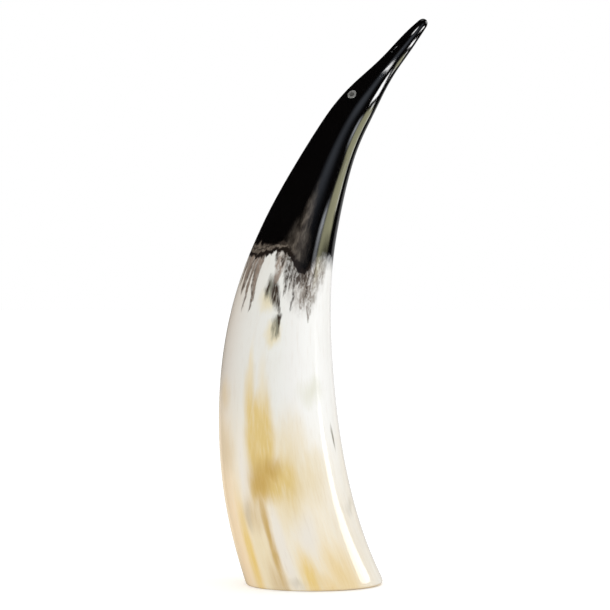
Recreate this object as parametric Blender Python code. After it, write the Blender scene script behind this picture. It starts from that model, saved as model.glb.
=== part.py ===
"""Polished cattle horn standing on its cut foot, its solid dark tip carved as a bird's head with inlaid eyes.

The horn bends in the XZ plane: its foot is cut level, and the beak points towards +X. The bird's left side is +Y.
"""
import math

import bmesh
import bpy
import numpy as np
from mathutils import Matrix, Vector

# Lengths along the horn's curved middle line, in metres
BODY_LENGTH = 0.2825        # cut foot to the neck
HEAD_LENGTH = 0.0565        # neck to the root of the beak
BEAK_LENGTH = 0.0375        # root of the beak to its point
POINT_ROUNDING = 0.003      # length over which the beak's point is rounded off

# Widths seen from the bird's side, square to the middle line, in metres
FOOT_WIDTH = 0.0788
LOWER_WIDTH = 0.0766
MIDDLE_WIDTH = 0.0668
UPPER_WIDTH = 0.0452
NECK_WIDTH = 0.0284
CROWN_WIDTH = 0.0232
BEAK_ROOT_WIDTH = 0.0126
BEAK_WIDTH = 0.0094
POINT_WIDTH = 0.0054

# Cross-section
ROUNDNESS = 0.92            # depth of the horn for a width of 1
LEVEL_CUT_LENGTH = 0.083    # over this length the sections turn from level to square to the middle line

# Wall, hollow and the worked edges of the foot, in metres
FOOT_WALL = 0.006
HOLLOW_LENGTH = 0.205
CONVEX_EDGE = 0.0010        # rounding on the outside of the bend
CONCAVE_EDGE = 0.0042       # rounding on the inside of the bend, where the corner is sharp
INNER_EDGE = 0.0008
WALL_LEFT_TO_EDGES = 0.75   # the widest rounding, as a share of the foot's wall

# Eyes: a ring with a domed pin in its middle, in a stepped socket, in metres and degrees
EYE_HEIGHT_ON_HEAD = 0.0290     # from the neck, along the middle line
EYE_TURN = 127.0                # round the head, 0 at the throat and 180 at the crown
RING_WIDTH = 0.0058
RING_HOLE = 0.0030
RING_DEPTH = 0.0016
RING_SLOPE = 0.0003             # fall of the ring's face from its hole to its rim
PIN_DEPTH = 0.0042
PIN_DOME = 0.0004
CLEARANCE = 0.0003              # round each inlaid piece and under it

# Mouth line, cut along both sides of the beak, in metres and degrees
MOUTH_CUT_WIDTH = 0.0008
MOUTH_START = 0.0055            # beyond the root of the beak
MOUTH_END = 0.0063              # short of the point
MOUTH_START_TURN = 127.0
MOUTH_END_TURN = 112.0

# Fineness of the meshes
SIDES = 40
WALL_ROWS = 44
POINT_ROWS = 4
HOLLOW_ROWS = 22
EYE_SIDES = 28
MOUTH_ROWS = 16
MOUTH_SIDES = 10
EDGE_STEPS = 3
WELD = 1e-6
PROBE = 1e-4                    # step along the skin when its direction is measured

NECK = BODY_LENGTH
BEAK_ROOT = NECK + HEAD_LENGTH
POINT = BEAK_ROOT + BEAK_LENGTH

# Stations of the outline: distance from the foot, lean of the middle line from upright in degrees, width
STATIONS = (
    (0.0, -23.5, FOOT_WIDTH),
    (0.27 * BODY_LENGTH, -8.0, LOWER_WIDTH),
    (0.53 * BODY_LENGTH, 3.5, MIDDLE_WIDTH),
    (0.80 * BODY_LENGTH, 18.5, UPPER_WIDTH),
    (NECK, 26.5, NECK_WIDTH),
    (NECK + 0.46 * HEAD_LENGTH, 34.5, CROWN_WIDTH),
    (BEAK_ROOT, 39.5, BEAK_ROOT_WIDTH),
    (BEAK_ROOT + 0.60 * BEAK_LENGTH, 39.0, BEAK_WIDTH),
    (POINT, 43.5, POINT_WIDTH),
)
PLACES, LEANS, WIDTHS = (np.array(column) for column in zip(*STATIONS))


def flow(values, distance):
    """Smooth curve through the stations' values."""
    slopes = np.gradient(values, PLACES)
    index = min(max(int(np.searchsorted(PLACES, distance, side="right")) - 1, 0), len(PLACES) - 2)
    span = PLACES[index + 1] - PLACES[index]
    t = (distance - PLACES[index]) / span
    here = (1 + 2 * t) * (1 - t) ** 2 * values[index] + t * (1 - t) ** 2 * span * slopes[index]
    ahead = t * t * (3 - 2 * t) * values[index + 1] - t * t * (1 - t) * span * slopes[index + 1]
    return float(here + ahead)


def middle_line(steps=400):
    """Points of the horn's middle line, found by walking up it from the centre of the foot."""
    distances = np.linspace(0.0, POINT, steps)
    leans = np.radians([flow(LEANS, distance) for distance in distances])
    step = distances[1]
    walk = [np.cumsum((part[1:] + part[:-1]) * step / 2) for part in (np.sin(leans), np.cos(leans))]
    return distances, np.append(0.0, walk[0]), np.append(0.0, walk[1])


LINE_PLACES, LINE_X, LINE_Z = middle_line()


def section(distance):
    """Centre, direction across the horn and tilt away from square of the section at a distance up the horn."""
    centre = Vector((np.interp(distance, LINE_PLACES, LINE_X), 0.0, np.interp(distance, LINE_PLACES, LINE_Z)))
    lean = math.radians(flow(LEANS, distance))
    share = min(distance / LEVEL_CUT_LENGTH, 1.0)
    tilt = lean * share * share * (3 - 2 * share)
    return centre, Vector((math.cos(tilt), 0.0, -math.sin(tilt))), lean - tilt


def half_width(distance):
    """Half the horn's width, drawn in to a rounded point at the end of the beak."""
    left = min(max(POINT - distance, 0.0) / POINT_ROUNDING, 1.0)
    return flow(WIDTHS, distance) / 2 * math.sqrt(left * (2 - left))


def hollow_half_width(distance):
    """Half the hollow's width: a wall's thickness in from the outside at the foot, closing to a dome."""
    share = min(distance / HOLLOW_LENGTH, 1.0)
    return (half_width(distance) - FOOT_WALL) * math.sqrt(1 - share ** 3)


def place_on(distance, turn, half):
    """Point on the section at a distance, turned from the concave side (0) over +Y to the convex side."""
    centre, across, off_square = section(distance)
    depth = Vector((0.0, half * ROUNDNESS * math.sin(turn), 0.0))
    return centre + across * (half / math.cos(off_square) * math.cos(turn)) + depth


def skin_point(distance, turn):
    """Point of the horn's outer skin."""
    return place_on(distance, turn, half_width(distance))


def seat_on_skin(distance, turn):
    """Matrix at a point of the skin: X up the horn, Z square to the surface and outward."""
    spot = skin_point(distance, turn)
    along = (skin_point(distance + PROBE, turn) - spot).normalized()
    around = skin_point(distance, turn + PROBE / half_width(distance)) - spot
    outward = around.cross(along).normalized()
    turned = Matrix((along, outward.cross(along), outward)).transposed().to_4x4()
    return Matrix.Translation(spot) @ turned


def skin_rows():
    """Distances and half widths of the horn's skin, from the point down to the foot and up the hollow."""
    shoulder = POINT - POINT_ROUNDING
    outside = []
    for row in range(POINT_ROWS):
        outside.append(POINT - POINT_ROUNDING * (1 - math.cos(math.pi / 2 * row / POINT_ROWS)))
    outside += [shoulder * (1 - row / WALL_ROWS) for row in range(WALL_ROWS + 1)]
    inside = [HOLLOW_LENGTH * math.sin(math.pi / 2 * row / HOLLOW_ROWS) for row in range(HOLLOW_ROWS + 1)]
    rows = [(place, half_width(place)) for place in outside]
    return rows + [(place, hollow_half_width(place)) for place in inside]


def rolled_sheet(rows, sides, place):
    """A grid rolled into a tube by place(row, turn), which draws its first and last rows to a point."""
    mesh = bmesh.new()
    bmesh.ops.create_grid(mesh, x_segments=sides, y_segments=rows - 1, size=0.5)
    for vertex in mesh.verts:
        row = round((vertex.co.y + 0.5) * (rows - 1))
        vertex.co = place(row, (vertex.co.x + 0.5) * math.tau)
    bmesh.ops.remove_doubles(mesh, verts=mesh.verts, dist=WELD)
    bmesh.ops.recalc_face_normals(mesh, faces=mesh.faces)
    return mesh


def turned_solid(profile, seat):
    """Solid turned from an open profile of (radius, height) points about the seat's Z axis."""
    mesh = bmesh.new()
    points = [mesh.verts.new((radius, 0.0, height)) for radius, height in profile]
    edges = [mesh.edges.new(pair) for pair in zip(points, points[1:])]
    bmesh.ops.spin(mesh, geom=points + edges, axis=(0, 0, 1), cent=(0, 0, 0), angle=math.tau, steps=EYE_SIDES)
    bmesh.ops.remove_doubles(mesh, verts=mesh.verts, dist=WELD)
    mesh.transform(seat)
    bmesh.ops.recalc_face_normals(mesh, faces=mesh.faces)
    return mesh


def finished(mesh, name, material, parent):
    """Smooth-shaded object made from a bmesh, under a parent."""
    data = bpy.data.meshes.new(name)
    mesh.to_mesh(data)
    mesh.free()
    data.shade_smooth()
    data.set_sharp_from_angle(angle=math.radians(35))
    data.materials.append(material)
    thing = bpy.data.objects.new(name, data)
    bpy.context.collection.objects.link(thing)
    thing.parent = parent
    return thing


def cut(target, cutter):
    """Cut a shape out of a target, and keep the cutter as a hidden wire guide."""
    boolean = target.modifiers.new(cutter.name, "BOOLEAN")
    boolean.operation = "DIFFERENCE"
    boolean.solver = "EXACT"
    boolean.object = cutter
    cutter.hide_render = True
    cutter.display_type = "WIRE"


def mark_foot_edges(mesh):
    """Give the foot's outer and inner edges their share of the widest rounding, as bevel weights."""
    weights = mesh.edges.layers.float.new("bevel_weight_edge")
    limit = FOOT_WALL * WALL_LEFT_TO_EDGES
    widest = min(max(CONVEX_EDGE, CONCAVE_EDGE, INNER_EDGE), limit)
    between = (FOOT_WIDTH - FOOT_WALL) / 2
    for edge in mesh.edges:
        on_the_cut = all(abs(vertex.co.z) < WELD for vertex in edge.verts)
        if not on_the_cut or all(face.normal.z < -0.99 for face in edge.link_faces):
            continue
        middle = (edge.verts[0].co + edge.verts[1].co) / 2
        reach = math.hypot(middle.x * math.cos(math.radians(STATIONS[0][1])), middle.y / ROUNDNESS)
        concave_share = (1 + middle.x / middle.length) / 2
        rounding = CONVEX_EDGE + (CONCAVE_EDGE - CONVEX_EDGE) * concave_share
        edge[weights] = min(rounding if reach > between else INNER_EDGE, limit) / widest
    return widest


def make_horn(parent, material):
    """The horn: its skin in one sheet, out over the wall, in across the foot and up the hollow."""
    rows = skin_rows()
    mesh = rolled_sheet(len(rows), SIDES, lambda row, turn: place_on(rows[row][0], turn, rows[row][1]))
    widest = mark_foot_edges(mesh)
    horn = finished(mesh, "horn_body", material, parent)
    edges = horn.modifiers.new("foot_edges", "BEVEL")
    edges.limit_method = "WEIGHT"
    edges.width = widest
    edges.segments = EDGE_STEPS
    return horn


def socket_cutter(name, seat, material, parent):
    """Stepped socket: a wide seat for the ring and a narrower hole for the pin."""
    ring_radius = RING_WIDTH / 2 + CLEARANCE
    pin_radius = RING_HOLE / 2
    ring_floor = -RING_DEPTH - CLEARANCE
    pin_floor = -PIN_DEPTH - CLEARANCE
    profile = [(0, ring_radius), (ring_radius, ring_radius), (ring_radius, ring_floor)]
    profile += [(pin_radius, ring_floor), (pin_radius, pin_floor), (0, pin_floor)]
    return finished(turned_solid(profile, seat), name, material, parent)


def make_eye(side_name, turn, horn, materials, parent):
    """One eye: its socket in the horn, the ring let into it and the domed pin that fills the ring."""
    seat = seat_on_skin(NECK + EYE_HEIGHT_ON_HEAD, turn)
    cut(horn, socket_cutter("eye_socket_" + side_name, seat, materials["horn"], parent))
    rim, hole = RING_WIDTH / 2, RING_HOLE / 2
    ring = [(rim, -RING_DEPTH), (rim, -RING_SLOPE), (hole, 0), (hole, -RING_DEPTH), (rim, -RING_DEPTH)]
    finished(turned_solid(ring, seat), "eye_ring_" + side_name, materials["ring"], parent)
    radius = hole - CLEARANCE
    pin = [(0, PIN_DOME), (radius * 0.6, PIN_DOME * 0.7), (radius, 0), (radius, -PIN_DEPTH), (0, -PIN_DEPTH)]
    finished(turned_solid(pin, seat), "eye_pin_" + side_name, materials["pin"], parent)


def mouth_cutter(name, side, material, parent):
    """Thin round cutter that follows the skin along one side of the beak."""
    start, end = BEAK_ROOT + MOUTH_START, POINT - MOUTH_END

    def place(row, turn):
        share = row / (MOUTH_ROWS - 1)
        about = side * math.radians(MOUTH_START_TURN + (MOUTH_END_TURN - MOUTH_START_TURN) * share)
        radius = MOUTH_CUT_WIDTH / 2 * math.sqrt(max(1 - (2 * share - 1) ** 6, 0.0))
        seat = seat_on_skin(start + (end - start) * share, about)
        return seat @ Vector((0.0, radius * math.cos(turn), radius * math.sin(turn)))

    return finished(rolled_sheet(MOUTH_ROWS, MOUTH_SIDES, place), name, material, parent)


def principled(name, colour, roughness, metallic):
    """Plain material of one colour."""
    material = bpy.data.materials.new(name)
    material.use_nodes = True
    shader = material.node_tree.nodes["Principled BSDF"]
    shader.inputs["Base Color"].default_value = (*colour, 1.0)
    shader.inputs["Roughness"].default_value = roughness
    shader.inputs["Metallic"].default_value = metallic
    return material


def main():
    for thing in list(bpy.data.objects):
        bpy.data.objects.remove(thing, do_unlink=True)
    materials = {
        "horn": principled("polished_horn", (0.75, 0.66, 0.48), 0.12, 0.0),
        "ring": principled("eye_ring_inlay", (0.42, 0.42, 0.40), 0.35, 0.0),
        "pin": principled("eye_pin_inlay", (0.22, 0.22, 0.21), 0.30, 0.0),
    }
    foot_centre = bpy.data.objects.new("foot_centre", None)
    bpy.context.collection.objects.link(foot_centre)
    horn = make_horn(foot_centre, materials["horn"])
    reach = [vertex.co.x for vertex in horn.data.vertices]
    foot_centre.location.x = -(min(reach) + max(reach)) / 2
    for side_name, side in (("left", 1), ("right", -1)):
        make_eye(side_name, side * math.radians(EYE_TURN), horn, materials, foot_centre)
        cut(horn, mouth_cutter("mouth_line_" + side_name, side, materials["horn"], foot_centre))
    bpy.context.view_layer.update()


main()
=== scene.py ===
"""Polished horn with a bird's-head tip and inlaid metal eyes: its looks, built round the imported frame."""

import math

import bmesh
import bpy
import numpy as np
from mathutils import Matrix, Vector


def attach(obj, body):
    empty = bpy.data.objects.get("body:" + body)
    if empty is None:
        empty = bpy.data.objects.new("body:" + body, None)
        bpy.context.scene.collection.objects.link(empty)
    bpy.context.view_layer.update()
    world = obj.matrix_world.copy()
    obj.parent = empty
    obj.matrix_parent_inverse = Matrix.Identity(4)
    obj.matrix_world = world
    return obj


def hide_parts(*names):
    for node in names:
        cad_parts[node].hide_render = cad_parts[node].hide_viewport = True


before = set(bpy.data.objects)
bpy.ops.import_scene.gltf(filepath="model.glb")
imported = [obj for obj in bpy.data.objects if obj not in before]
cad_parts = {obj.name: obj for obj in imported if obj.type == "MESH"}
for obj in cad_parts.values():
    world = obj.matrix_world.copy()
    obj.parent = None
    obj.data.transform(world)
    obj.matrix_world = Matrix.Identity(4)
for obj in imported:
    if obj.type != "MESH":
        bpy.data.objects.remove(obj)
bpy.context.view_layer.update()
cad_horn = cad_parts["horn_body"]

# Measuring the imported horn
CALIPER_REACH = 0.12        # the calipers close in from this far off the middle line
POINT_REACH = 0.5           # and from this far ahead of the point
LEVEL_CUT_LENGTH = 0.083    # over this length the rings turn from level to square to the horn
RING_STEP = 0.0062          # distance between rings along the middle line
LAST_STEPS = 1.3            # the walk up ends when less than this many steps are left
FOOT_SECTIONS = (0.006, 0.012)
TIP_SHARES = (0.28, 0.5, 0.68, 0.82, 0.92, 0.98)
SKIN_SHARE = 0.97           # a wall met further out than this is the skin, so the hollow has ended
HOLLOW_TOP_SHARES = (0.45, 0.75, 0.93)

# The turned foot edges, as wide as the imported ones
CONVEX_EDGE = 0.0010
CONCAVE_EDGE = 0.0042
INNER_EDGE = 0.0008
GROUND = 1e-5               # points lower than this are on the foot's cut
ACROSS_WALL = 0.002         # an edge of the cut that reaches further in than this crosses the wall
MERGE_DISTANCE = 1e-6

# The mouth line cut along both sides of the beak: distances back from the point, and turns round the beak
MOUTH_FROM = (0.0320, math.radians(127.0))
MOUTH_TO = (0.0063, math.radians(112.0))
MOUTH_CUT_WIDTH = 0.0007
MOUTH_STEPS = 14
MOUTH_END_SHARE = 0.2       # the cut narrows to this share of its width at both ends

# The inlaid eyes
POLISHED_DEPTH = 0.0008     # a ring's points less deep than this follow the skin
POLISH_REACH = 0.01
RING_STANDS_OUT = 0.00002
PIN_DOME = 0.00022
CUTTER_TOP = 0.004

RING_SIDES = 48
EYE_SIDES = 48
TOWARDS_LEFT = Vector((0.0, 1.0, 0.0))

# The studio
CAMERA_PLACE = (-0.0112, -1.3, 0.1725)
CAMERA_LENS = 124.1
FLOOR_RADIUS = 60.0
WHITE = (1.0, 1.0, 1.0, 1.0)
NECK_CARDS_OFF = 0.25       # how far the cards beside the neck stand from the middle


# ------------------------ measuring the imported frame

def across(tilt):
    """Direction across the horn, towards the inside of its bend, in a section tilted from level."""
    return Vector((math.cos(tilt), 0.0, -math.sin(tilt)))


def square_to(tilt):
    """Direction up the horn, square to a section tilted from level."""
    return Vector((math.sin(tilt), 0.0, math.cos(tilt)))


def caliper(centre, direction, reach=CALIPER_REACH):
    """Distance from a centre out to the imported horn's skin, closing in from outside."""
    found, spot, _, _ = cad_horn.ray_cast(centre + direction * reach, -direction, distance=reach)
    return (spot - centre).dot(direction) if found else 0.0


def measured_ring(guess, tilt):
    """Centre, tilt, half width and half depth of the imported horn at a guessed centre."""
    side = across(tilt)
    inner, outer = caliper(guess, side), caliper(guess, -side)
    centre = guess + side * (inner - outer) / 2
    depth = (caliper(centre, TOWARDS_LEFT) + caliper(centre, -TOWARDS_LEFT)) / 2
    return {"centre": centre, "tilt": tilt, "width": (inner + outer) / 2, "depth": depth}


def eased(share):
    """A share from 0 to 1 that starts and ends gently."""
    share = min(max(share, 0.0), 1.0)
    return share * share * (3 - 2 * share)


def foot_ring():
    """The foot's outline, carried down from two rings above its rounded edges."""
    low, high = (measured_ring(Vector((0.0, 0.0, height)), 0.0) for height in FOOT_SECTIONS)
    ring = {"tilt": 0.0, "along": 0.0, "centre": low["centre"] * 2 - high["centre"]}
    ring["width"] = low["width"] * 2 - high["width"]
    ring["depth"] = low["depth"] * 2 - high["depth"]
    return ring, (high["centre"] - low["centre"]).normalized()


def outer_rings():
    """Rings of the horn's outside from the foot to the point, found by walking up its middle line."""
    ring, direction = foot_ring()
    rings = [ring]
    leans = [math.atan2(direction.x, direction.z)] * 2
    while caliper(rings[-1]["centre"], direction, POINT_REACH) > RING_STEP * LAST_STEPS:
        lean = leans[-1] + (leans[-1] - leans[-2]) / 2
        guess = rings[-1]["centre"] + square_to(lean) * RING_STEP
        along = rings[-1]["along"] + RING_STEP
        ring = measured_ring(guess, lean * eased(along / LEVEL_CUT_LENGTH))
        step = ring["centre"] - rings[-1]["centre"]
        ring["along"] = rings[-1]["along"] + step.length
        rings.append(ring)
        leans.append(math.atan2(step.x, step.z))
        direction = square_to(leans[-1] + (leans[-1] - leans[-2]) / 2)
    left = caliper(rings[-1]["centre"], direction, POINT_REACH)
    base = rings[-1]
    for share in TIP_SHARES:
        ring = measured_ring(base["centre"] + direction * left * share, base["tilt"])
        ring["along"] = base["along"] + left * share
        rings.append(ring)
    return rings, base["centre"] + direction * left


def hollow_rings(rings):
    """Rings of the hollow, measured from inside at every second ring of the outside, and its top."""
    inside = []
    for ring in rings[1::2]:
        found, spot, _, _ = cad_horn.ray_cast(ring["centre"], across(ring["tilt"]))
        if not found or (spot - ring["centre"]).length > ring["width"] * SKIN_SHARE:
            break
        share = (spot - ring["centre"]).length / ring["width"]
        inside.append({**ring, "width": ring["width"] * share, "depth": ring["depth"] * share})
    last = inside[-1]
    found, top, _, _ = cad_horn.ray_cast(last["centre"], square_to(last["tilt"]))
    rise = top - last["centre"]
    for share in HOLLOW_TOP_SHARES:
        shrink = math.sqrt(1 - share * share)
        ring = {**last, "centre": last["centre"] + rise * share}
        ring["width"], ring["depth"] = last["width"] * shrink, last["depth"] * shrink
        inside.append(ring)
    return inside, top


def eye_seat(side_name, rings):
    """Matrix of an eye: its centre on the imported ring, Z outward, X up the horn."""
    spots = node_spots("eye_ring_" + side_name)
    middle = Vector((spots.max(axis=0) + spots.min(axis=0)) / 2)
    _, _, axes = np.linalg.svd(spots - spots.mean(axis=0), full_matrices=False)
    ring = min(rings, key=lambda ring: (ring["centre"] - middle).length)
    outward = Vector(axes[2])
    if outward.dot(middle - ring["centre"]) < 0:
        outward = -outward
    up = square_to(ring["tilt"])
    up = (up - outward * up.dot(outward)).normalized()
    turned = Matrix((up, outward.cross(up), outward)).transposed().to_4x4()
    top = max((Vector(spot) - middle).dot(outward) for spot in spots)
    return Matrix.Translation(middle + outward * top) @ turned


def node_spots(node_name):
    """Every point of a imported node, as rows of an array."""
    return np.array([vertex.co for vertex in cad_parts[node_name].data.vertices])


def turned_reach(node_name, seat):
    """Smallest and largest radius, and lowest and highest point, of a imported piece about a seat's axis."""
    back = np.array(seat.inverted())
    spots = node_spots(node_name) @ back[:3, :3].T + back[:3, 3]
    radii = np.hypot(spots[:, 0], spots[:, 1])
    return radii.min(), radii.max(), spots[:, 2].min(), spots[:, 2].max()


# ------------------------ modelling

def deselect_all():
    """Leave nothing selected."""
    bpy.ops.object.select_all(action="DESELECT")


def pick(piece):
    """Make a piece the only selected and active object."""
    deselect_all()
    piece.select_set(True)
    bpy.context.view_layer.objects.active = piece


def named(name):
    """Name the piece that was just added."""
    piece = bpy.context.active_object
    piece.name = name
    piece.data.name = name
    return piece


def place_applied(piece):
    """Put a piece's place, turn and scale into its mesh."""
    pick(piece)
    bpy.ops.object.transform_apply(location=True, rotation=True, scale=True)


def select_where(piece, test):
    """In edit mode, select the vertices whose place passes a test."""
    mesh = bmesh.from_edit_mesh(piece.data)
    bpy.ops.mesh.select_all(action="DESELECT")
    for vertex in mesh.verts:
        vertex.select = test(vertex.co)
    mesh.select_flush_mode()
    bmesh.update_edit_mesh(piece.data)


def close_up():
    """Merge doubled points, point every face outwards and leave edit mode."""
    bpy.ops.mesh.select_all(action="SELECT")
    bpy.ops.mesh.remove_doubles(threshold=MERGE_DISTANCE)
    bpy.ops.mesh.normals_make_consistent(inside=False)
    bpy.ops.object.mode_set(mode="OBJECT")


def reshape_ring(before, after):
    """Move the selected ring from one place, tilt and size to the next."""
    centre = before["centre"]
    bpy.ops.transform.rotate(value=before["tilt"], orient_axis="Y", center_override=centre)
    grow = (after["width"] / before["width"], after["depth"] / before["depth"], 1.0)
    bpy.ops.transform.resize(value=grow, center_override=centre)
    bpy.ops.transform.rotate(value=-after["tilt"], orient_axis="Y", center_override=centre)
    bpy.ops.transform.translate(value=after["centre"] - centre)


def draw_up(rings, end):
    """Extrude the selected ring through a run of rings and close it to a point at the end."""
    before = rings[0]
    for after in rings[1:]:
        bpy.ops.mesh.extrude_region_move()
        reshape_ring(before, after)
        before = after
    bpy.ops.mesh.extrude_region_move()
    bpy.ops.mesh.merge(type="CENTER")
    bpy.ops.transform.translate(value=end - before["centre"])


def apply_all(piece):
    """Apply every modifier of a piece, in order."""
    pick(piece)
    for modifier in list(piece.modifiers):
        bpy.ops.object.modifier_apply(modifier=modifier.name)


def mark_foot_edges(piece, foot, inner_foot):
    """Give each edge of the foot its share of the widest rounding, as bevel weights."""
    weights = piece.data.attributes.new("bevel_weight_edge", "FLOAT", "EDGE")
    between = (foot["width"] + inner_foot["width"]) / 2
    for edge in piece.data.edges:
        ends = [piece.data.vertices[index].co - foot["centre"] for index in edge.vertices]
        if any(abs(end.z) > GROUND for end in ends):
            continue
        reaches = [math.hypot(end.x, end.y * foot["width"] / foot["depth"]) for end in ends]
        if max(reaches) - min(reaches) > ACROSS_WALL:
            continue
        middle = (ends[0] + ends[1]) / 2
        concave_share = (1 + middle.x / middle.length) / 2
        rounding = CONVEX_EDGE + (CONCAVE_EDGE - CONVEX_EDGE) * concave_share
        weights.data[edge.index].value = (rounding if reaches[0] > between else INNER_EDGE) / CONCAVE_EDGE


def make_horn(rings, point, inside, hollow_top):
    """The horn: a ring drawn up to the point outside, and from the foot's rim up the hollow."""
    foot = rings[0]
    deselect_all()
    bpy.ops.mesh.primitive_circle_add(vertices=RING_SIDES, radius=foot["width"], location=foot["centre"])
    horn = named("polished_horn")
    place_applied(horn)
    bpy.ops.object.mode_set(mode="EDIT")
    bpy.ops.mesh.select_all(action="SELECT")
    flatten = (1.0, foot["depth"] / foot["width"], 1.0)
    bpy.ops.transform.resize(value=flatten, center_override=foot["centre"])
    draw_up(rings, point)
    select_where(horn, lambda spot: spot.z < GROUND)
    wall = foot["width"] - inside[0]["width"]
    inner_foot = {**foot, "width": foot["width"] - wall, "depth": foot["depth"] - wall}
    bpy.ops.mesh.extrude_region_move()
    reshape_ring(foot, inner_foot)
    draw_up([inner_foot] + inside, hollow_top)
    close_up()
    mark_foot_edges(horn, foot, inner_foot)
    edges = horn.modifiers.new("turned_edges", "BEVEL")
    edges.limit_method = "WEIGHT"
    edges.width = CONCAVE_EDGE
    edges.segments = 3
    smooth = horn.modifiers.new("smooth", "SUBSURF")
    smooth.levels = smooth.render_levels = 2
    apply_all(horn)
    bpy.ops.object.shade_smooth()
    return horn


def turned_piece(name, seat, profile):
    """A piece turned about a seat's axis from an open profile of radius and height."""
    deselect_all()
    bpy.ops.mesh.primitive_plane_add(size=0.001)
    piece = named(name)
    bpy.ops.object.mode_set(mode="EDIT")
    bpy.ops.mesh.select_all(action="SELECT")
    bpy.ops.mesh.merge(type="CENTER")
    bpy.ops.transform.translate(value=(profile[0][0], 0.0, profile[0][1]))
    for before, after in zip(profile, profile[1:]):
        bpy.ops.mesh.extrude_region_move()
        bpy.ops.transform.translate(value=(after[0] - before[0], 0.0, after[1] - before[1]))
    bpy.ops.mesh.select_all(action="SELECT")
    bpy.ops.mesh.spin(steps=EYE_SIDES, angle=math.tau, center=(0, 0, 0), axis=(0, 0, 1))
    close_up()
    piece.matrix_world = seat
    place_applied(piece)
    return piece


def polish_to_skin(piece, seat, skin, above):
    """Slide a piece's top along its axis until it follows the horn's skin, a little above it."""
    outward = (seat.to_3x3() @ Vector((0, 0, 1))).normalized()
    back = seat.inverted()
    for vertex in piece.data.vertices:
        height = (back @ vertex.co).z
        if height < -POLISHED_DEPTH:
            continue
        found, spot, _, _ = skin.ray_cast(vertex.co + outward * POLISH_REACH, -outward)
        if found:
            vertex.co = spot + outward * (above + min(height, 0.0))


def finish_round(piece, corner):
    """Smooth faces, with corners sharper than an angle in degrees kept crisp."""
    pick(piece)
    bpy.ops.object.shade_smooth_by_angle(angle=math.radians(corner))


def ring_profile(hole, rim, low):
    """Closed section of an eye ring, with softly broken corners."""
    soft = (rim - hole) * 0.14
    top = [(hole, -soft * 0.6), (hole + soft * 0.3, -soft * 0.15), (hole + soft, 0.0)]
    middle = [(hole + (rim - hole) * 0.36, 0.0), (hole + (rim - hole) * 0.68, 0.0)]
    outer = [(rim - soft, 0.0), (rim - soft * 0.3, -soft * 0.15), (rim, -soft * 0.6)]
    return [(hole, low)] + top + middle + outer + [(rim, low), (hole, low)]


def pin_profile(radius, low, dome):
    """Section of an eye's pin: a shank with a low domed head."""
    head = [(0.0, dome), (radius * 0.3, dome * 0.93), (radius * 0.6, dome * 0.7), (radius * 0.85, dome * 0.3)]
    return head + [(radius * 0.97, 0.0), (radius, -dome * 0.6), (radius, low), (0.0, low)]


def make_eye(side_name, rings, horn):
    """One eye's ring, polished down to the horn's skin, its pin, and the cutter for their socket."""
    seat = eye_seat(side_name, rings)
    hole, rim, ring_low, _ = turned_reach("eye_ring_" + side_name, seat)
    _, pin_radius, pin_low, _ = turned_reach("eye_pin_" + side_name, seat)
    gap = hole - pin_radius
    ring = turned_piece("inlaid_ring_" + side_name, seat, ring_profile(hole, rim, ring_low))
    polish_to_skin(ring, seat, horn, RING_STANDS_OUT)
    pin = turned_piece("inlaid_pin_" + side_name, seat, pin_profile(pin_radius, pin_low, PIN_DOME))
    wide, ring_floor, pin_floor = rim + gap * 0.5, ring_low - gap, pin_low - gap
    wide_part = [(0.0, CUTTER_TOP), (wide, CUTTER_TOP), (wide, ring_floor), (hole, ring_floor)]
    narrow_part = [(hole, pin_floor), (0.0, pin_floor)]
    cutter = turned_piece("socket_cutter_" + side_name, seat, wide_part + narrow_part)
    finish_round(ring, 40.0)
    finish_round(pin, 40.0)
    return ring, pin, cutter


def skin_point(rings, along, turn):
    """Point of the skin at a distance up the horn and a turn from the inside of its bend to the left."""
    places = [ring["along"] for ring in rings]
    index = min(max(int(np.searchsorted(places, along)) - 1, 0), len(rings) - 2)
    low, high = rings[index], rings[index + 1]
    share = (along - low["along"]) / (high["along"] - low["along"])
    centre = low["centre"].lerp(high["centre"], share)
    tilt, width, depth = (low[size] + (high[size] - low[size]) * share for size in ("tilt", "width", "depth"))
    return centre + across(tilt) * width * math.cos(turn) + TOWARDS_LEFT * depth * math.sin(turn)


def mouth_cutter(side, rings, horn):
    """Thin tapered wire laid along one side of the beak, to cut the mouth line with."""
    deselect_all()
    bpy.ops.curve.primitive_bezier_curve_add()
    wire = bpy.context.active_object
    wire.data.dimensions = "3D"
    wire.data.bevel_depth = MOUTH_CUT_WIDTH / 2
    wire.data.bevel_resolution = 3
    wire.data.use_fill_caps = True
    wire.data.splines.clear()
    spline = wire.data.splines.new("POLY")
    spline.points.add(MOUTH_STEPS)
    length = rings[-1]["along"]
    for step in range(MOUTH_STEPS + 1):
        share = step / MOUTH_STEPS
        along = length - (MOUTH_FROM[0] + (MOUTH_TO[0] - MOUTH_FROM[0]) * share)
        turn = side * (MOUTH_FROM[1] + (MOUTH_TO[1] - MOUTH_FROM[1]) * share)
        _, spot, _, _ = horn.closest_point_on_mesh(skin_point(rings, along, turn))
        spline.points[step].co = (*spot, 1.0)
        fullness = max(1.0 - (2 * share - 1) ** 6, 0.0) ** 0.5
        spline.points[step].radius = fullness * (1 - MOUTH_END_SHARE) + MOUTH_END_SHARE
    bpy.ops.object.convert(target="MESH")
    return named("mouth_cutter")


def cut_away(horn, cutters):
    """Cut every cutter out of the horn and put the cutters away."""
    for cutter in cutters:
        boolean = horn.modifiers.new("cut", "BOOLEAN")
        boolean.operation = "DIFFERENCE"
        boolean.solver = "EXACT"
        boolean.object = cutter
    apply_all(horn)
    for cutter in cutters:
        bpy.data.objects.remove(cutter, do_unlink=True)
    finish_round(horn, 35.0)


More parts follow.
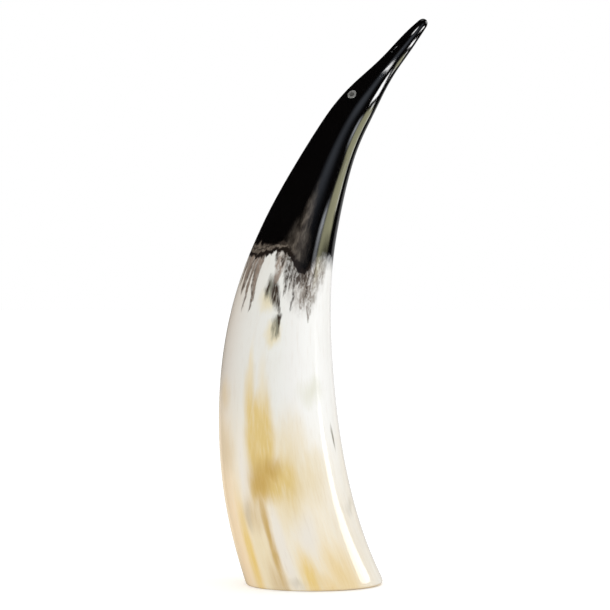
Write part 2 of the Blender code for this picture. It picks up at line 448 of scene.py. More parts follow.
def write_places(horn, rings):
    """Give every point of the horn its place: cosine and sine of its turn and distance up, and its reach."""
    spots = np.array([vertex.co for vertex in horn.data.vertices])
    centres = np.array([ring["centre"] for ring in rings])
    tilts, widths, depths, alongs = (
        np.array([ring[size] for ring in rings]) for size in ("tilt", "width", "depth", "along")
    )
    ups = np.stack([np.sin(tilts), np.zeros_like(tilts), np.cos(tilts)], axis=1)
    heights = spots @ ups.T - np.sum(centres * ups, axis=1)
    below = np.clip(np.argmax(heights < 0, axis=1) - 1, 0, len(rings) - 2)
    below[(heights >= 0).all(axis=1)] = len(rings) - 2
    rows = np.arange(len(spots))
    low, high = heights[rows, below], heights[rows, below + 1]
    share = np.clip(low / (low - high), -1.0, 2.0)

    def between(values):
        return values[below] + (values[below + 1] - values[below]) * share

    tilt = between(tilts)
    middle = centres[below] + (centres[below + 1] - centres[below]) * share[:, None]
    off = spots - middle
    sideways = (off[:, 0] * np.cos(tilt) - off[:, 2] * np.sin(tilt)) / between(widths)
    turns = np.arctan2(off[:, 1] / between(depths), sideways)
    places = np.stack([np.cos(turns), np.sin(turns), between(alongs)], axis=1)
    layer = horn.data.attributes.new("horn_place", "FLOAT_VECTOR", "POINT")
    layer.data.foreach_set("vector", places.astype(np.float32).ravel())
    reaches = np.hypot(off[:, 1] / between(depths), sideways)
    reach_layer = horn.data.attributes.new("horn_reach", "FLOAT", "POINT")
    reach_layer.data.foreach_set("value", reaches.astype(np.float32))


# ------------------------ shader steps

def shade(red, green, blue):
    """A colour given as on a screen, 0 to 255, in the linear values that shaders use."""
    parts = [part / 255 for part in (red, green, blue)]
    return (*(part / 12.92 if part < 0.04045 else ((part + 0.055) / 1.055) ** 2.4 for part in parts), 1.0)


def add(tree, kind, inputs=None, **settings):
    """A node with its settings and its inputs, each a plain value or another node's output."""
    node = tree.nodes.new(kind)
    for name, value in settings.items():
        setattr(node, name, value)
    for name, value in (inputs or {}).items():
        if isinstance(value, bpy.types.NodeSocket):
            tree.links.new(value, node.inputs[name])
        else:
            node.inputs[name].default_value = value
    return node


def maths(tree, operation, *values, clamp=False):
    """The result of one arithmetic step."""
    inputs = dict(enumerate(values))
    return add(tree, "ShaderNodeMath", inputs, operation=operation, use_clamp=clamp).outputs[0]


def times(tree, value, factor):
    """One value multiplied by another."""
    return maths(tree, "MULTIPLY", value, factor)


def blend_in(tree, below, above, amount):
    """One colour laid over another by a mask."""
    node = add(tree, "ShaderNodeMix", {0: amount, 6: below, 7: above}, data_type="RGBA")
    return node.outputs[2]


def between_levels(tree, value, low, high, low_out=0.0, high_out=1.0, smooth=True):
    """A value spread from one range to another, held at its ends."""
    kind = "SMOOTHSTEP" if smooth else "LINEAR"
    inputs = {"Value": value, "From Min": low, "From Max": high, "To Min": low_out, "To Max": high_out}
    return add(tree, "ShaderNodeMapRange", inputs, interpolation_type=kind).outputs[0]


def noise(tree, vector, scale, detail, roughness, distortion=0.0):
    """A noise on a given vector: its value and its colour."""
    inputs = {"Vector": vector, "Scale": scale, "Detail": detail, "Roughness": roughness}
    inputs["Distortion"] = distortion
    return add(tree, "ShaderNodeTexNoise", inputs).outputs


def drawn_out(tree, vector, squeeze):
    """A vector squeezed along Z, which draws a pattern out along the fibres."""
    node = add(tree, "ShaderNodeVectorMath", {0: vector, 1: (1.0, 1.0, squeeze)}, operation="MULTIPLY")
    return node.outputs[0]


def colour_ramp(tree, value, stops):
    """A colour ramp with stops of position and colour."""
    node = add(tree, "ShaderNodeValToRGB", {"Fac": value})
    ramp = node.color_ramp
    ramp.elements[0].position, ramp.elements[0].color = stops[0]
    ramp.elements[1].position, ramp.elements[1].color = stops[-1]
    for position, tint in stops[1:-1]:
        ramp.elements.new(position).color = tint
    return node.outputs["Color"]


def drawn_curve(tree, angle, points, low, high):
    """A height drawn as a smooth curve against the angle round the horn, between two heights."""
    share = between_levels(tree, angle, -180.0, 180.0, smooth=False)
    node = add(tree, "ShaderNodeFloatCurve", {"Value": share})
    curve = node.mapping.curves[0]
    spread = [((at + 180.0) / 360.0, (height - low) / (high - low)) for at, height in points]
    curve.points[0].location = spread[0]
    curve.points[1].location = spread[-1]
    for place in spread[1:-1]:
        curve.points.new(*place)
    node.mapping.update()
    return between_levels(tree, node.outputs[0], 0.0, 1.0, low, high, smooth=False)


def new_group(name, inputs, outputs):
    """An empty shader group with its sockets, and its input and output nodes."""
    tree = bpy.data.node_groups.new(name, "ShaderNodeTree")
    for socket, kind in inputs:
        tree.interface.new_socket(socket, in_out="INPUT", socket_type="NodeSocket" + kind)
    for socket, kind in outputs:
        tree.interface.new_socket(socket, in_out="OUTPUT", socket_type="NodeSocket" + kind)
    return tree, tree.nodes.new("NodeGroupInput").outputs, tree.nodes.new("NodeGroupOutput")


def place_group(tree, group, inputs):
    """A group placed in a material with its own values."""
    return add(tree, "ShaderNodeGroup", inputs, node_tree=group).outputs


def new_material(name):
    """A new material, its nodes and its shader."""
    material = bpy.data.materials.new(name)
    material.use_nodes = True
    return material, material.node_tree, material.node_tree.nodes["Principled BSDF"]


def join_finish(tree, shader, tint, rough, normal):
    """Give a shader its colour, roughness and normal."""
    tree.links.new(tint, shader.inputs["Base Color"])
    tree.links.new(rough, shader.inputs["Roughness"])
    tree.links.new(normal, shader.inputs["Normal"])


# ------------------------ shared groups

def place_on_horn_group():
    """Turns the horn's place into an angle, a height in millimetres and a point for patterns.

    The angle is 0 on the bird's right side, -90 along the crown's side and 90 along the throat's.
    """
    tree, given, out = new_group(
        "Place on Horn", [("Place", "Vector")], [("Angle", "Float"), ("Along", "Float"), ("Point", "Vector")]
    )
    parts = add(tree, "ShaderNodeSeparateXYZ", {0: given["Place"]}).outputs
    turned = maths(tree, "ARCTAN2", parts["X"], times(tree, parts["Y"], -1.0))
    along = times(tree, parts["Z"], 1000.0)
    girth = between_levels(tree, along, 0.0, 340.0, 38.0, 8.0, smooth=False)
    sideways = times(tree, parts["X"], girth)
    depthways = times(tree, parts["Y"], girth)
    point = add(tree, "ShaderNodeCombineXYZ", {0: sideways, 1: depthways, 2: along}).outputs[0]
    tree.links.new(maths(tree, "DEGREES", turned), out.inputs["Angle"])
    tree.links.new(along, out.inputs["Along"])
    tree.links.new(point, out.inputs["Point"])
    return tree


def stain_group():
    """A soft oval stain at a place on the horn, which may lean."""
    sockets = ["Angle", "Along", "At Angle", "At Along", "Half Angle", "Half Length", "Lean", "Softness"]
    tree, given, out = new_group("Stain", [(name, "Float") for name in sockets], [("Mask", "Float")])
    rise = maths(tree, "SUBTRACT", given["Along"], given["At Along"])
    leaning = maths(tree, "MULTIPLY_ADD", rise, given["Lean"], given["At Angle"])
    sideways = maths(tree, "DIVIDE", maths(tree, "SUBTRACT", given["Angle"], leaning), given["Half Angle"])
    upward = maths(tree, "DIVIDE", rise, given["Half Length"])
    squares = maths(tree, "MULTIPLY_ADD", sideways, sideways, times(tree, upward, upward))
    reach = maths(tree, "SQRT", squares)
    inner = maths(tree, "SUBTRACT", 1.0, given["Softness"])
    outer = maths(tree, "ADD", 1.0, given["Softness"])
    tree.links.new(between_levels(tree, reach, inner, outer, 1.0, 0.0), out.inputs["Mask"])
    return tree


def tongue_group():
    """A tongue of dark horn that hangs down into the pale part and narrows to a tip."""
    sockets = ["Angle", "Along", "At Angle", "Tip Along", "Length", "Half Angle", "Lean", "Softness"]
    tree, given, out = new_group("Tongue", [(name, "Float") for name in sockets], [("Mask", "Float")])
    rise = maths(tree, "SUBTRACT", given["Along"], given["Tip Along"])
    share = maths(tree, "DIVIDE", rise, given["Length"], clamp=True)
    leaning = maths(tree, "MULTIPLY_ADD", rise, given["Lean"], given["At Angle"])
    off = maths(tree, "ABSOLUTE", maths(tree, "SUBTRACT", given["Angle"], leaning))
    half = times(tree, given["Half Angle"], maths(tree, "POWER", share, 0.6))
    inside = maths(tree, "SUBTRACT", half, off)
    low = times(tree, given["Softness"], -1.0)
    mask = between_levels(tree, inside, low, given["Softness"])
    started = between_levels(tree, rise, -0.5, 1.5)
    tree.links.new(times(tree, mask, started), out.inputs["Mask"])
    return tree


def polish_group():
    """Fine hand-polish marks: a height for the bump and a small change of roughness."""
    tree, given, out = new_group(
        "Polish Marks",
        [("Point", "Vector"), ("Roughness", "Float"), ("Wear", "Float")],
        [("Roughness", "Float"), ("Height", "Float")],
    )
    fibres = noise(tree, drawn_out(tree, given["Point"], 0.03), 1.6, 4.0, 0.6)[0]
    smears = noise(tree, drawn_out(tree, given["Point"], 0.5), 0.12, 3.0, 0.6)[0]
    spread = times(tree, maths(tree, "SUBTRACT", smears, 0.5), given["Wear"])
    rough = maths(tree, "ADD", given["Roughness"], spread, clamp=True)
    tree.links.new(rough, out.inputs["Roughness"])
    tree.links.new(fibres, out.inputs["Height"])
    return tree


# ------------------------ the horn's finish

# Stains in the pale horn and painted light low on its crown's side: each kind's colour and strength, then
# every stain's angle, height, half angle, half length, lean and softness. Angles are in degrees and lengths
# in millimetres up the horn.
STAINS_AND_GLOW = {
    "warm foot": (shade(243, 230, 203), 0.9, (
        (-50, 28, 60, 72, 0, 0.6), (22, 10, 50, 66, 0, 0.8), (135, 40, 70, 70, 0, 0.6))),
    # Peach low on the crown's side: the horn's own warm tone with painted light of the floor's bounce and of
    # light through the thin wall laid over it.
    "peach crown side and painted bounce light": (shade(248, 222, 184), 0.9, (
        (-70, 34, 20, 66, 0, 0.7), (-118, 20, 22, 50, 0, 0.8))),
    "pale tan": (shade(222, 202, 168), 0.75, (
        (-63, 122, 8, 8, 0, 0.9), (-60, 91, 11, 10, 0, 0.8), (-120, 110, 12, 22, 0, 0.9),
        (150, 118, 14, 24, 0, 0.9))),
    "tan spread": (shade(234, 218, 182), 0.85, (
        (20, 68, 19, 16, 0.1, 0.8), (8, 84, 15, 22, 0, 0.8), (0, 52, 14, 12, 0, 0.8),
        (-34, 20, 9, 36, 0, 0.7), (150, 60, 26, 30, 0, 0.8))),
    "dull tan": (shade(214, 190, 148), 0.8, (
        (-36, 52, 9, 9, 0, 0.9), (-30, 6, 5, 12, 0, 0.9), (-126, 60, 8, 18, 0, 0.9))),
    "amber": (shade(222, 194, 124), 0.95, (
        (-18.5, 95, 14, 26, 0, 0.35), (-27, 114, 4.5, 19, 0, 1.0), (-12, 106, 6, 15, 0, 1.0),
        (-13, 70, 19, 12, 0, 0.5), (3, 69, 9, 12, 0, 0.9), (-112, 60, 12, 50, 0, 0.7),
        (142, 78, 10, 34, 0, 0.7))),
    "thin amber": (shade(232, 216, 178), 0.5, (
        (-15, 126, 3.0, 14, 0, 1.0), (-27, 137, 2.2, 12, 0, 1.0))),
    "deep amber": (shade(198, 163, 92), 0.88, (
        (-22.5, 71, 11, 12, 0, 0.7), (-23.5, 36, 2.8, 40, 0, 0.8), (-12, 77, 9, 6, 0, 0.9),
        (143, 70, 6, 22, 0, 0.8))),
    "honey streaks": (shade(234, 202, 120), 0.92, (
        (-49.5, 26, 5.2, 30, 0, 0.8), (1, 8, 6, 15, 0, 0.9), (-132, 34, 5, 40, 0, 0.8),
        (112, 24, 6, 36, 0, 0.8))),
    "soft honey": (shade(236, 210, 154), 0.85, (
        (28, 9, 12, 15, 0, 0.9), (15, 4, 9, 8, 0, 0.9))),
    "milk streaks": (shade(236, 230, 220), 0.9, (
        (-15, 28, 5.5, 26, 0, 0.5), (10, 36, 9, 11, 0, 0.9), (-39, 78, 4, 20, 0, 0.9),
        (168, 40, 6, 30, 0, 0.8))),
    "grey smudges": (shade(156, 146, 124), 0.26, (
        (-13, 3, 6, 3.0, 0, 0.9), (-40, 50, 3.0, 6, 0, 1.0), (67, 46, 9, 2.6, 0, 1.0),
        (-165, 60, 8, 3, 0, 1.0), (160, 52, 6, 4, 0, 1.0))),
    "dark splinter": (shade(112, 106, 88), 0.85, (
        (60, 92, 1.5, 6.5, -0.12, 0.9), (-140, 84, 1.6, 9, 0.1, 0.9))),
    "olive shade": (shade(222, 221, 200), 0.6, (
        (36, 122, 12, 6, 0, 1.0), (-165, 130, 12, 8, 0, 1.0))),
}

# Tongues of dark horn: each kind's colour, strength and how broken it is, then every tongue's angle and
# height at its tip, length, half angle, lean and softness
TONGUES = {
    "brown tongues": (shade(92, 79, 69), 0.95, 0.4, (
        (-51.5, 168, 33, 3.3, 0, 0.9), (-38, 169, 33, 6.6, -0.2, 1.0), (-61, 177, 25, 7.5, 0, 1.6),
        (-72, 183, 20, 6, 0, 2.0), (-88, 172, 30, 4, 0, 1.0), (-128, 168, 34, 5, 0.1, 1.0),
        (100, 176, 26, 5, 0, 1.0), (136, 166, 36, 5, -0.1, 1.0), (170, 172, 30, 5, 0, 1.0))),
    "fawn tongues": (shade(142, 126, 113), 0.9, 0.55, (
        (-52, 176, 26, 1.7, 0, 0.8), (-38.3, 176, 28, 4.6, -0.2, 1.0), (-63, 182, 22, 5.0, 0, 1.8),
        (-13, 187, 16, 7.5, 0, 1.4), (-104, 180, 24, 9, 0, 2.0), (118, 182, 24, 12, 0, 2.0),
        (-160, 178, 26, 10, 0, 2.0))),
    "grey lace": (shade(136, 127, 118), 0.85, 0.7, (
        (24, 172, 26, 9, 0.05, 1.6), (31.5, 165, 14, 3.6, 0.1, 1.0), (39, 180, 26, 7.0, 0, 3.0),
        (50, 192, 20, 8, 0, 4.0), (150, 174, 28, 12, 0, 2.0))),
    "dark tongues": (shade(64, 54, 47), 0.95, 0.5, (
        (1, 180, 21, 4.0, -0.15, 1.0), (11, 172, 28, 2.6, 0, 0.9), (6, 186, 14, 2.6, 0, 1.0),
        (26, 180, 20, 1.8, 0.1, 1.0), (17.5, 184, 16, 3.0, 0, 1.0), (33, 186, 18, 1.6, 0.2, 1.0),
        (-20, 199, 8, 3.2, 0, 1.0), (-5, 193, 12, 3.4, 0, 1.2), (4, 189, 12, 3.0, 0, 1.2),
        (-10, 198, 8, 3.0, 0, 1.2), (14, 188, 10, 4.0, 0, 1.4), (22, 189, 9, 3.6, 0, 1.4),
        (-140, 182, 20, 3, 0, 0.9), (108, 184, 18, 3, 0, 0.9), (156, 184, 18, 3, 0, 0.9))),
}

# Lone drops under the dark edge, dark or grey, and the yellowed halos round them
HALOS = ((-18, 177, 8.0, 6.0, 0, 0.8), (-5.5, 158, 8.0, 7.5, 0, 0.55), (128, 150, 8, 8, 0, 0.8))
DARK_DROPS = (
    (-10.5, 183.5, 4.6, 8.0, -0.4, 0.5), (-3.6, 176, 2.2, 4.4, -0.5, 0.6), (-21, 184.5, 2.0, 4.6, 0, 0.8),
    (-0.8, 165, 1.5, 6.6, 0, 0.6), (-1.4, 168.6, 2.2, 2.6, 0, 0.8), (124, 160, 4, 5, 0, 0.6))
GREY_DROPS = ((-3.4, 163.2, 4.4, 7.0, 0, 0.55), (-19, 184.5, 5.0, 6.4, 0, 0.6), (130, 154, 3.4, 6, 0, 0.7))

# Soft smoke in the pale horn behind the grey lace
SMOKE = (
    (25, 188, 14, 13, 0, 0.7), (13, 190, 8, 9, 0, 0.8), (38, 198, 12, 9, 0, 1.0), (150, 190, 16, 10, 0, 0.8))

# Smoky wedge that rises out of the bands into the black
WEDGE = ((2, 212, 13, 12, 0, 0.8), (4, 226, 6, 18, 0, 0.9), (128, 214, 16, 14, 0, 0.9))

# Lower edge of the dark tip and upper edge of the grey bands over it, by angle round the horn
DARK_EDGE = (
    (-180, 202), (-150, 199), (-120, 204), (-90, 201), (-60, 200.5), (-45, 201.5), (-32, 204.5),
    (-20, 207), (-10, 207), (-4, 205), (5, 201.5), (12, 198), (18, 196), (24, 198.5), (31, 203),
    (42, 208), (60, 209), (90, 204), (120, 199), (150, 203), (180, 202))
BAND_TOP = (
    (-180, 209), (-150, 207), (-120, 210), (-90, 208), (-60, 208.5), (-30, 210), (-16, 213), (-4, 211),
    (6, 206), (18, 197), (30, 198), (60, 205), (90, 206), (120, 207), (150, 210), (180, 209))


def shifted(tree, place, scale, squeeze, angle_by, along_by):
    """Angle and height wandering with a noise, so that stains get ragged natural edges."""
    wander = noise(tree, drawn_out(tree, place["Point"], squeeze), scale, 4.0, 0.55)["Color"]
    parts = add(tree, "ShaderNodeSeparateColor", {0: wander}).outputs
    angle_off = times(tree, maths(tree, "SUBTRACT", parts[0], 0.5), angle_by)
    along_off = times(tree, maths(tree, "SUBTRACT", parts[1], 0.5), along_by)
    angle = maths(tree, "ADD", place["Angle"], angle_off)
    return {"Angle": angle, "Along": maths(tree, "ADD", place["Along"], along_off)}


def any_of(tree, masks):
    """The strongest of several masks."""
    strongest = masks[0]
    for mask in masks[1:]:
        strongest = maths(tree, "MAXIMUM", strongest, mask)
    return strongest


def mask_of(tree, group, where, names, marks):
    """One mask for a list of marks, each a row of values for a group's named sockets."""
    rows = [{**where, **dict(zip(names, mark))} for mark in marks]
    return any_of(tree, [place_group(tree, group, row)["Mask"] for row in rows])


def stain_mask(tree, group, where, stains):
    """One mask for a list of oval stains."""
    names = ("At Angle", "At Along", "Half Angle", "Half Length", "Lean", "Softness")
    return mask_of(tree, group, where, names, stains)


def tongue_mask(tree, group, where, tongues):
    """One mask for a list of hanging tongues."""
    names = ("At Angle", "Tip Along", "Length", "Half Angle", "Lean", "Softness")
    return mask_of(tree, group, where, names, tongues)


def pale_horn(tree, groups, place):
    """Colour of the pale horn: milk white above, warm below, with stains drawn out along the fibres; painted
    shade darkens it towards the crown's side, and painted light brightens it towards the throat's side and
    low on the crown's side.
    """
    point = place["Point"]
    where = shifted(tree, place, 0.16, 0.12, 8.0, 20.0)
    fibres = noise(tree, drawn_out(tree, point, 0.04), 0.85, 5.0, 0.62)[0]
    clouds = noise(tree, drawn_out(tree, point, 0.3), 0.05, 3.0, 0.5)[0]
    # Painted shade and painted light: the milky white is darker towards the crown's side and brightest
    # towards the throat's side, where the light falls from.
    milk_white_and_side_shade = colour_ramp(tree, between_levels(tree, place["Angle"], -95.0, 95.0, smooth=False), (
        (0.0, shade(212, 201, 187)), (0.16, shade(216, 208, 197)), (0.3, shade(226, 224, 217)),
        (0.5, shade(234, 234, 229)), (0.58, shade(239, 238, 234)), (0.66, shade(248, 248, 245)),
        (0.75, shade(252, 252, 249)), (1.0, shade(253, 251, 246))))
    behind = between_levels(tree, maths(tree, "ABSOLUTE", place["Angle"]), 80.0, 120.0)
    tint = blend_in(tree, milk_white_and_side_shade, shade(232, 229, 221), behind)
    for stain_and_glow_shade, strength, stains in STAINS_AND_GLOW.values():
        mask = stain_mask(tree, groups["stain"], where, stains)
        streaked = between_levels(tree, fibres, 0.25, 0.6, strength * 0.75, strength)
        tint = blend_in(tree, tint, stain_and_glow_shade, times(tree, mask, streaked))
    faint = times(tree, between_levels(tree, fibres, 0.5, 0.75), 0.10)
    tint = blend_in(tree, tint, shade(186, 158, 116), faint)
    veil = times(tree, between_levels(tree, clouds, 0.5, 0.8), 0.16)
    return blend_in(tree, tint, shade(214, 206, 190), veil)


def dark_markings(tree, groups, place, pale):
    """The drops, tongues and banded edge where the dark tip runs down into the pale horn."""
    point = place["Point"]
    where = shifted(tree, place, 0.42, 0.22, 9.0, 13.0)
    grain = noise(tree, drawn_out(tree, point, 0.34), 0.7, 4.0, 0.6, 0.8)[0]
    streaks = noise(tree, drawn_out(tree, point, 0.12), 0.8, 4.0, 0.6)[0]
    tint = pale
    for spots, spot_shade, strength in (
        (HALOS, shade(226, 212, 172), 0.7),
        (SMOKE, shade(156, 148, 140), between_levels(tree, grain, 0.34, 0.6, 0.4, 0.9)),
        (GREY_DROPS, shade(112, 112, 98), between_levels(tree, streaks, 0.36, 0.58, 0.4, 0.9)),
        (DARK_DROPS, shade(62, 52, 44), between_levels(tree, streaks, 0.34, 0.54, 0.6, 1.0)),
    ):
        mask = stain_mask(tree, groups["stain"], where, spots)
        tint = blend_in(tree, tint, spot_shade, times(tree, mask, strength))
    for tongue_shade, strength, broken_by, tongues in TONGUES.values():
        mask = tongue_mask(tree, groups["tongue"], where, tongues)
        broken = between_levels(tree, grain, 0.36, 0.6, strength * (1.0 - broken_by), strength)
        tint = blend_in(tree, tint, tongue_shade, times(tree, mask, broken))
    return tint, where, grain


def black_horn(tree, place, over_edge, under_top, below):
    """Black over the dark edge, which is crisp on the crown's side and hazy on the throat's."""
    softness = between_levels(tree, place["Angle"], 17.0, 52.0, 0.7, 8.0)
    dark = between_levels(tree, over_edge, times(tree, softness, -1.0), softness)
    hazy = blend_in(tree, shade(33, 27, 23), shade(66, 70, 76), between_levels(tree, softness, 4.5, 8.0))
    tint = blend_in(tree, below, hazy, dark)
    past_edge = between_levels(tree, over_edge, 1.5, 6.0)
    past_bands = between_levels(tree, under_top, 1.0, -2.5)
    return blend_in(tree, tint, shade(5, 4, 4), times(tree, past_edge, past_bands))


def smoky_wedge(tree, groups, place, where, over_edge, below):
    """Streaks of smoke in a wedge that rises out of the bands."""
    streaks = noise(tree, drawn_out(tree, place["Point"], 0.16), 0.7, 5.0, 0.66, 0.4)[0]
    smoke = colour_ramp(tree, streaks, (
        (0.28, shade(30, 26, 23)), (0.45, shade(70, 63, 56)),
        (0.6, shade(104, 96, 87)), (0.75, shade(134, 126, 116))))
    wedge = stain_mask(tree, groups["stain"], where, WEDGE)
    over_line = between_levels(tree, over_edge, 3.0, 6.0, 0.0, 0.85)
    return blend_in(tree, below, smoke, times(tree, wedge, over_line))


def grey_bands(tree, place, grain, over_edge, under_top, below):
    """Grey bands over the dark edge, which stays as a dark line under them, with a thread between them."""
    thicker = between_levels(tree, place["Angle"], -18.0, 4.0, 0.0, 3.0)
    above_line = between_levels(tree, maths(tree, "SUBTRACT", over_edge, thicker), 2.4, 3.6)
    band = times(tree, above_line, between_levels(tree, under_top, -1.0, 1.6))
    smoky = colour_ramp(tree, grain, (
        (0.3, shade(66, 58, 51)), (0.5, shade(104, 95, 85)), (0.72, shade(128, 119, 108))))
    thread_start = between_levels(tree, over_edge, 4.4, 5.0)
    thread = times(tree, thread_start, between_levels(tree, over_edge, 6.2, 5.4))
    banded = blend_in(tree, smoky, shade(40, 34, 30), times(tree, thread, 0.75))
    return blend_in(tree, below, banded, band)


def dark_tip(tree, groups, place, where, grain, below):
    """The black tip, from its dark edge up: the black, the smoky wedge in it and the grey bands."""
    fine = shifted(tree, place, 0.42, 0.5, 5.0, 8.0)
    edge = drawn_curve(tree, fine["Angle"], DARK_EDGE, 180.0, 220.0)
    top = drawn_curve(tree, fine["Angle"], BAND_TOP, 190.0, 240.0)
    over_edge = maths(tree, "SUBTRACT", fine["Along"], edge)
    under_top = maths(tree, "SUBTRACT", top, fine["Along"])
    tint = black_horn(tree, place, over_edge, under_top, below)
    tint = smoky_wedge(tree, groups, place, where, over_edge, tint)
    return grey_bands(tree, place, grain, over_edge, under_top, tint)


def hollow_finish(tree, place, reach, outside):
    """The outside's colour with the hollow's and the cut rim's laid under it, and a mask of the outside."""
    grain = noise(tree, drawn_out(tree, place["Point"], 0.06), 0.6, 5.0, 0.6)[0]
    inside = colour_ramp(tree, grain, ((0.3, shade(150, 118, 78)), (0.55, shade(196, 166, 118)),
                                       (0.75, shade(216, 190, 146))))
    outward = add(tree, "ShaderNodeCombineXYZ", {0: reach}).outputs[0]
    layers = noise(tree, outward, 55.0, 3.0, 0.6)[0]
    rim = colour_ramp(tree, layers, ((0.3, shade(206, 178, 130)), (0.7, shade(236, 222, 192))))
    cut = between_levels(tree, reach, 0.845, 0.87)
    inner = blend_in(tree, inside, rim, cut)
    over_hollow = between_levels(tree, place["Along"], 212.0, 214.0)
    skin = any_of(tree, [between_levels(tree, reach, 0.955, 0.985), over_hollow])
    return blend_in(tree, inner, outside, skin), skin


def horn_material(groups):
    """Polished horn: pale and stained below, dark above, rougher in the hollow."""
    material, tree, shader = new_material("polished_banded_horn")
    given = add(tree, "ShaderNodeAttribute", attribute_name="horn_place").outputs["Vector"]
    reach = add(tree, "ShaderNodeAttribute", attribute_name="horn_reach").outputs["Fac"]
    place = place_group(tree, groups["place"], {"Place": given})
    pale = pale_horn(tree, groups, place)
    marked, where, grain = dark_markings(tree, groups, place, pale)
    outside = dark_tip(tree, groups, place, where, grain, marked)
    tint, skin = hollow_finish(tree, place, reach, outside)
    polish = place_group(tree, groups["polish"], {"Point": place["Point"], "Roughness": 0.06, "Wear": 0.05})
    rough = between_levels(tree, skin, 0.0, 1.0, 0.6, polish["Roughness"])
    bump = add(tree, "ShaderNodeBump", {"Strength": 0.12, "Distance": 0.0001, "Height": polish["Height"]})
    join_finish(tree, shader, tint, rough, bump.outputs[0])
    shader.inputs["IOR"].default_value = 1.54
    return material


def metal_material(name, bright, dull, roughness):
    """Aged satin inlay metal: fine streaked scratches and darker patches."""
    material, tree, shader = new_material(name)
    spot = add(tree, "ShaderNodeTexCoord").outputs["Object"]
    patches = noise(tree, spot, 900.0, 4.0, 0.6)[0]
    scratches = noise(tree, drawn_out(tree, spot, 0.1), 6000.0, 3.0, 0.7)[0]
    tint = colour_ramp(tree, patches, ((0.3, dull), (0.6, bright)))
    rough = between_levels(tree, scratches, 0.3, 0.7, roughness - 0.08, roughness + 0.12)
    bump = add(tree, "ShaderNodeBump", {"Strength": 0.2, "Distance": 0.00002, "Height": scratches})
    join_finish(tree, shader, tint, rough, bump.outputs[0])
    shader.inputs["Metallic"].default_value = 0.6
    return material


# ------------------------ studio

def direction_of(azimuth, elevation):
    """Direction from the horn: azimuth 0 towards the camera, 90 towards the beak's side."""
    a, e = math.radians(azimuth), math.radians(elevation)
    return Vector((math.sin(a) * math.cos(e), -math.cos(a) * math.cos(e), math.sin(e)))


def soft_edges(tree, softness):
    """A mask that fades out towards a card's edges."""
    parts = add(tree, "ShaderNodeSeparateXYZ", {0: add(tree, "ShaderNodeTexCoord").outputs["UV"]}).outputs
    mask = 1.0
    for axis in ("X", "Y"):
        mask = times(tree, mask, between_levels(tree, parts[axis], 0.0, softness))
        mask = times(tree, mask, between_levels(tree, parts[axis], 1.0, 1.0 - softness))
    return mask


def light_card(name, spots, strength, softness, tint=WHITE):
    """A glowing card that shows only in reflections, with four corners in order and soft edges."""
    deselect_all()
    bpy.ops.mesh.primitive_plane_add(size=1.0)
    card = named(name)
    for vertex, spot in zip((card.data.vertices[index] for index in (0, 1, 3, 2)), spots):
        vertex.co = spot
    material = bpy.data.materials.new(name + "_glow")
    material.use_nodes = True
    material.cycles.emission_sampling = "NONE"
    tree = material.node_tree
    tree.nodes.clear()
    power = times(tree, soft_edges(tree, softness), strength)
    glow = add(tree, "ShaderNodeEmission", {"Color": tint, "Strength": power})
    clear = tree.nodes.new("ShaderNodeBsdfTransparent")
    both = add(tree, "ShaderNodeAddShader", {0: glow.outputs[0], 1: clear.outputs[0]})
    out = tree.nodes.new("ShaderNodeOutputMaterial")
    tree.links.new(both.outputs[0], out.inputs[0])
    card.data.materials.append(material)
    card.visible_camera = False
    card.visible_diffuse = False
    card.visible_shadow = False


def far_corners(about, distance, *directions):
    """Corners of a far card, each given as azimuth and elevation from a point."""
    return [Vector(about) + direction_of(*direction) * distance for direction in directions]


def beside_neck(*spots):
    """Corners of a card standing beside the neck, each given as distance back and height in millimetres."""
    return [Vector((NECK_CARDS_OFF, back / 1000, high / 1000)) for back, high in spots]


def glint_corners(spot, azimuth, elevation, lean, along, wide, distance):
    """Corners of a small near card that gives a short glint on a leaning round surface."""
    towards = direction_of(azimuth, elevation)
    axis = square_to(math.radians(lean))
    up = (axis - towards * axis.dot(towards)).normalized()
    side = towards.cross(up)
    middle = Vector(spot) + towards * distance
    pairs = ((-1, -1), (1, -1), (1, 1), (-1, 1))
    return [middle + side * wide / 2 * left + up * along / 2 * high for left, high in pairs]


def make_floor():
    """Plain white floor that glows a little and stays out of the horn's reflections."""
    deselect_all()
    bpy.ops.mesh.primitive_circle_add(vertices=96, radius=FLOOR_RADIUS, fill_type="NGON", location=(0, 0, 0))
    floor = named("pale_floor")
    material, _, shader = new_material("matt_white_floor")
    shader.inputs["Base Color"].default_value = (0.96, 0.96, 0.96, 1.0)
    shader.inputs["Roughness"].default_value = 0.9
    shader.inputs["Specular IOR Level"].default_value = 0.0
    shader.inputs["Emission Color"].default_value = WHITE
    shader.inputs["Emission Strength"].default_value = 0.2
    floor.data.materials.append(material)
    floor.visible_glossy = False


def make_world():
    """White behind the horn, soft even light on it, and near dark in its reflections."""
    world = bpy.data.worlds.new("studio_air")
    bpy.context.scene.world = world
    world.use_nodes = True
    tree = world.node_tree
    tree.nodes.clear()
    way = add(tree, "ShaderNodeTexCoord").outputs["Generated"]
    parts = add(tree, "ShaderNodeSeparateXYZ", {0: way}).outputs
    soft = between_levels(tree, parts["X"], -1.0, 1.0, 0.93, 1.02, smooth=False)
    rays = add(tree, "ShaderNodeLightPath").outputs
    behind = between_levels(tree, parts["Y"], 0.93, 1.0, 0.003, 0.3)
    glossy = blend_in(tree, soft, behind, rays["Is Glossy Ray"])
    seen = blend_in(tree, glossy, WHITE, rays["Is Camera Ray"])
    air = add(tree, "ShaderNodeBackground", {"Color": seen, "Strength": 1.0})
    out = tree.nodes.new("ShaderNodeOutputWorld")
    tree.links.new(air.outputs[0], out.inputs[0])


def quad(azimuth, elevation, half_azimuth, half_elevation):
    """Directions to the corners of a card round a direction."""
    left, right = azimuth - half_azimuth, azimuth + half_azimuth
    low, high = elevation - half_elevation, elevation + half_elevation
    return (left, low), (right, low), (right, high), (left, high)


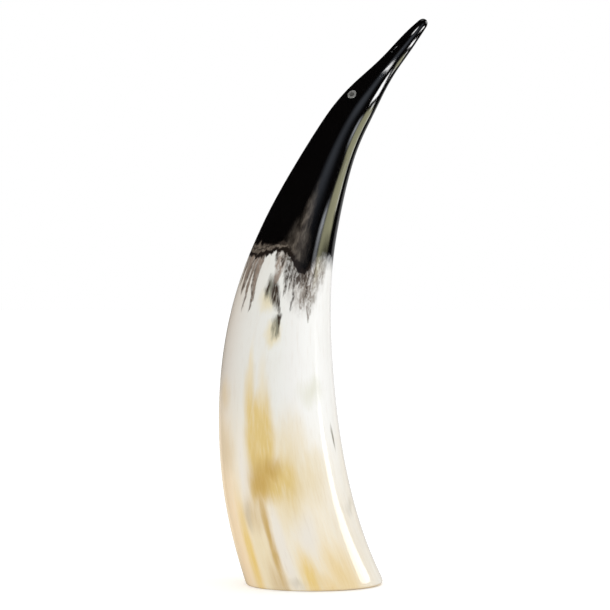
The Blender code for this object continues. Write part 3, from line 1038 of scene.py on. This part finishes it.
def make_lights():
    """The softbox at the beak's side, the cards beside the neck, and the small lights for the head."""
    foot, neck, beak = (0.02, 0.0, 0.06), (0.0, 0.0, 0.24), (0.05, 0.0, 0.33)
    light_card("softbox", far_corners(foot, 6.0, (81, 5.1), (89, 5.1), (134, 24), (75, 42)), 5.5, 0.04)
    light_card("pale_strip", beside_neck((-215, 214), (-84, 197), (-80, 230), (-205, 240)), 6.0, 0.48,
               shade(238, 243, 250))
    light_card("olive_card", beside_neck((-142, 199), (84, 184), (96, 223), (-112, 236)), 4.8, 0.24,
               shade(246, 244, 200))
    light_card("edge_strip", beside_neck((34, 198), (86, 198), (104, 222), (54, 222)), 6.0, 0.4,
               shade(246, 246, 230))
    light_card("throat_light", beside_neck((-122, 244), (24, 236), (24, 252), (-122, 264)), 20.0, 0.2)
    light_card("under_beak_light", beside_neck((-35, 221), (45, 219), (45, 232), (-35, 234)), 9.0, 0.35)
    light_card("dusky_card", far_corners(neck, 2.5, *quad(152, 0, 24, 24)), 0.45, 0.3)
    light_card("crown_side_glow", far_corners((-0.02, 0.0, 0.05), 0.35, *quad(-153, -4, 19, 20)), 0.75, 0.3,
               shade(255, 240, 216))
    light_card("ceiling_card", ((-0.8, -0.8, 2.4), (0.8, -0.8, 2.4), (0.8, 0.8, 2.4), (-0.8, 0.8, 2.4)),
               2.2, 0.45)
    light_card("navy_card", far_corners(neck, 2.5, *quad(26, 10, 30, 26)), 0.16, 0.5, shade(205, 222, 250))
    light_card("haze_card", far_corners(beak, 0.35, *quad(18, 4, 26, 16)), 0.8, 0.45, shade(225, 235, 250))
    light_card("beak_light", glint_corners((0.04, -0.006, 0.3185), 27, 3.8, 39, 0.0016, 0.05, 0.06),
               24.0, 0.35)
    light_card("beak_end_light", glint_corners((0.0564, -0.003, 0.3405), 2, 26, 40, 0.012, 0.022, 0.06),
               18.0, 0.35)
    light_card("point_light", glint_corners((0.063, -0.003, 0.344), 68, -18, 42, 0.009, 0.08, 0.12),
               20.0, 0.35)


def make_camera():
    """Level camera in front of the bird's right side."""
    bpy.ops.object.camera_add(location=CAMERA_PLACE, rotation=(math.radians(90), 0, 0))
    camera = bpy.context.active_object
    camera.name = "studio_camera"
    camera.data.sensor_width = 36.0
    camera.data.lens = CAMERA_LENS
    camera.data.clip_start = 0.01
    bpy.context.scene.camera = camera


# ------------------------ the whole piece

rings, point = outer_rings()
inside, hollow_top = hollow_rings(rings)
horn = make_horn(rings, point, inside, hollow_top)
eyes = {side_name: make_eye(side_name, rings, horn) for side_name in ("left", "right")}
cutters = [mouth_cutter(side, rings, horn) for side in (1, -1)] + [eye[2] for eye in eyes.values()]
cut_away(horn, cutters)
write_places(horn, rings)

groups = {
    "place": place_on_horn_group(), "stain": stain_group(), "tongue": tongue_group(), "polish": polish_group()
}
horn.data.materials.append(horn_material(groups))
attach(horn, "root")
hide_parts("horn_body")

ring_metal = metal_material("eye_ring_metal", shade(186, 186, 182), shade(140, 139, 135), 0.36)
pin_metal = metal_material("eye_pin_metal", shade(128, 128, 124), shade(84, 83, 80), 0.34)
for side_name, (ring, pin, _) in eyes.items():
    for piece, metal, node, slot in (
        (ring, ring_metal, "eye_ring_", "eye_ring"), (pin, pin_metal, "eye_pin_", "eye_pin")
    ):
        piece.data.materials.append(metal)
        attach(piece, "root")
        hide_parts(node + side_name)

make_floor()
make_world()
make_lights()
make_camera()
bpy.context.scene.view_settings.view_transform = "Standard"
